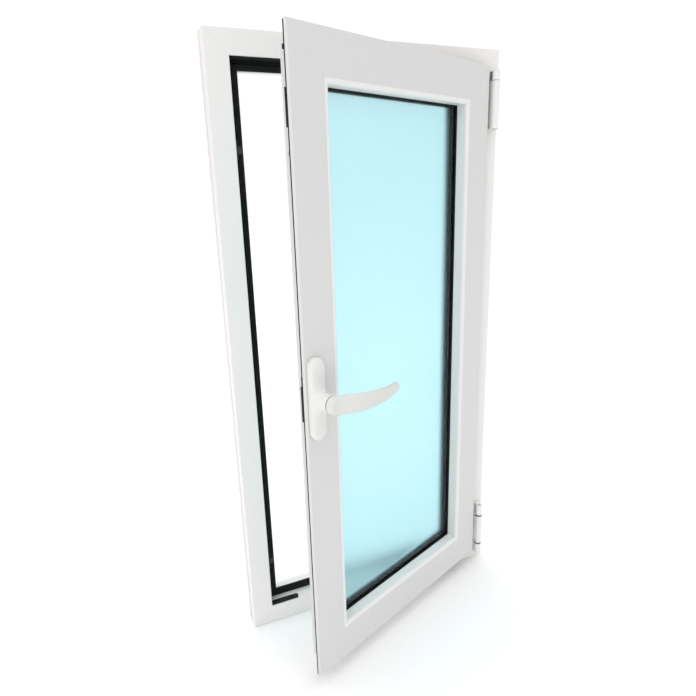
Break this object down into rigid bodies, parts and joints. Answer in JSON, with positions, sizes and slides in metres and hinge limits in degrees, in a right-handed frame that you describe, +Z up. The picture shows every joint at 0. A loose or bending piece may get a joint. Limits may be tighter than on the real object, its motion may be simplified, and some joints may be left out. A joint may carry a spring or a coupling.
{
  "type": "tilt and turn window",
  "caption": "White aluminium tilt-and-turn window: fixed frame and an inward-opening double-glazed sash on hinges, part-open, with lever handle and edge locking rods.",
  "frame": {"origin": "bottom centre of the fixed frame, half-way through its 40 mm depth, on the face that rests on the sill of the wall opening", "axes": "+Z up, +Y outdoors through the window, +X towards the hinge side"},
  "size_m": [0.5, 0.2698, 1],
  "materials": {
    "white_coat": "satin white powder coat",
    "white_bead": "satin white powder coat",
    "white_handle": "smooth satin white",
    "rubber": "matt black rubber",
    "black_plastic": "moulded black",
    "zinc": "zinc die casting",
    "steel": "galvanised steel",
    "mill_aluminium": "mill finish",
    "glass": "clear float glass, faint blue-green tint"
  },
  "bodies": {
    "frame": {"frame_head": "white_coat", "frame_sill": "white_coat", "frame_lock_jamb": "white_coat", "frame_hinge_jamb": "white_coat", "frame_corner_cleat_bottom_lock": "mill_aluminium", "frame_corner_cleat_bottom_hinge": "mill_aluminium", "frame_corner_cleat_top_hinge": "mill_aluminium", "frame_corner_cleat_top_lock": "mill_aluminium", "centre_gasket": "rubber", "drain_cap_lock_side": "white_handle", "drain_cap_hinge_side": "white_handle", "striker_upper": "zinc", "striker_lower": "zinc", "striker_head": "zinc", "tilt_keeper": "black_plastic", "bottom_hinge_base": "white_coat", "bottom_hinge_upper_cap": "white_coat", "bottom_hinge_pin": "steel", "top_hinge_bracket": "zinc", "top_hinge_cover": "white_coat", "top_hinge_pin": "steel"},
    "carrier": {"bottom_swivel": "white_coat", "tilt_pin": "steel"},
    "stay": {"stay_arm": "steel"},
    "sash": {"sash_top_rail": "white_coat", "sash_bottom_rail": "white_coat", "sash_lock_stile": "white_coat", "sash_hinge_stile": "white_coat", "sash_corner_cleat_bottom_lock": "mill_aluminium", "sash_corner_cleat_bottom_hinge": "mill_aluminium", "sash_corner_cleat_top_hinge": "mill_aluminium", "sash_corner_cleat_top_lock": "mill_aluminium", "glazing_bead_top": "white_bead", "glazing_bead_bottom": "white_bead", "glazing_bead_lock_side": "white_bead", "glazing_bead_hinge_side": "white_bead", "inner_pane": "glass", "outer_pane": "glass", "glass_spacer": "black_plastic", "inner_glazing_gasket": "rubber", "outer_glazing_gasket": "rubber", "overlap_gasket": "rubber", "setting_block_lock_side": "black_plastic", "setting_block_hinge_side": "black_plastic", "tilt_bearing": "zinc", "stay_guide": "zinc", "corner_drive_top": "black_plastic", "corner_drive_bottom": "black_plastic", "handle_base": "white_handle"},
    "slider": {"stay_slider": "black_plastic"},
    "lever": {"handle_lever": "white_handle", "spindle_pinion": "steel"},
    "stile_rod": {"lock_stile_rod": "mill_aluminium", "cam_upper": "steel", "cam_lower": "steel", "drive_carriage": "black_plastic", "drive_rack": "zinc"},
    "head_rod": {"top_rail_rod": "mill_aluminium"},
    "foot_rod": {"bottom_rail_rod": "mill_aluminium"}
  },
  "joints": [
    {"name": "sash_turn", "type": "hinge", "parent": "frame", "child": "carrier", "pos_m": [0.235, -0.034, 0.078], "axis": [0, 0, 1], "range_deg": [-22.4, 67.6]},
    {"name": "sash_tilt", "type": "hinge", "parent": "carrier", "child": "sash", "pos_m": [0.18006, -0.03717, 0.0385], "axis": [0.9245, 0.3811, 0], "range_deg": [0, 8]},
    {"name": "stay_swing", "type": "hinge", "parent": "carrier", "child": "stay", "pos_m": [0.235, -0.034, 0.96], "axis": [0, 0, 1], "range_deg": [0, 28.85]},
    {"name": "stay_slide", "type": "slide", "parent": "sash", "child": "slider", "axis": [0.9245, 0.3811, 0], "range_m": [0, 0.0232]},
    {"name": "handle_turn", "type": "hinge", "parent": "sash", "child": "lever", "pos_m": [-0.16524, -0.21627, 0.5], "axis": [-0.3811, 0.9245, 0], "range_deg": [-90, 90]},
    {"name": "stile_rod_slide", "type": "slide", "parent": "sash", "child": "stile_rod", "axis": [0, 0, 1], "range_m": [-0.01414, 0.01414]},
    {"name": "head_rod_slide", "type": "slide", "parent": "sash", "child": "head_rod", "axis": [0.9245, 0.3811, 0], "range_m": [-0.01414, 0.01414]},
    {"name": "foot_rod_slide", "type": "slide", "parent": "sash", "child": "foot_rod", "axis": [-0.9245, -0.3811, 0], "range_m": [-0.01414, 0.01414]}
  ],
  "couplings": [
    {"joint": "stay_swing", "follows": "sash_tilt", "ratio": 3.606},
    {"joint": "stay_slide", "follows": "sash_tilt", "m_per_rad": 0.16543},
    {"joint": "stile_rod_slide", "follows": "handle_turn", "m_per_rad": 0.009},
    {"joint": "head_rod_slide", "follows": "handle_turn", "m_per_rad": 0.009},
    {"joint": "foot_rod_slide", "follows": "handle_turn", "m_per_rad": 0.009}
  ]
}
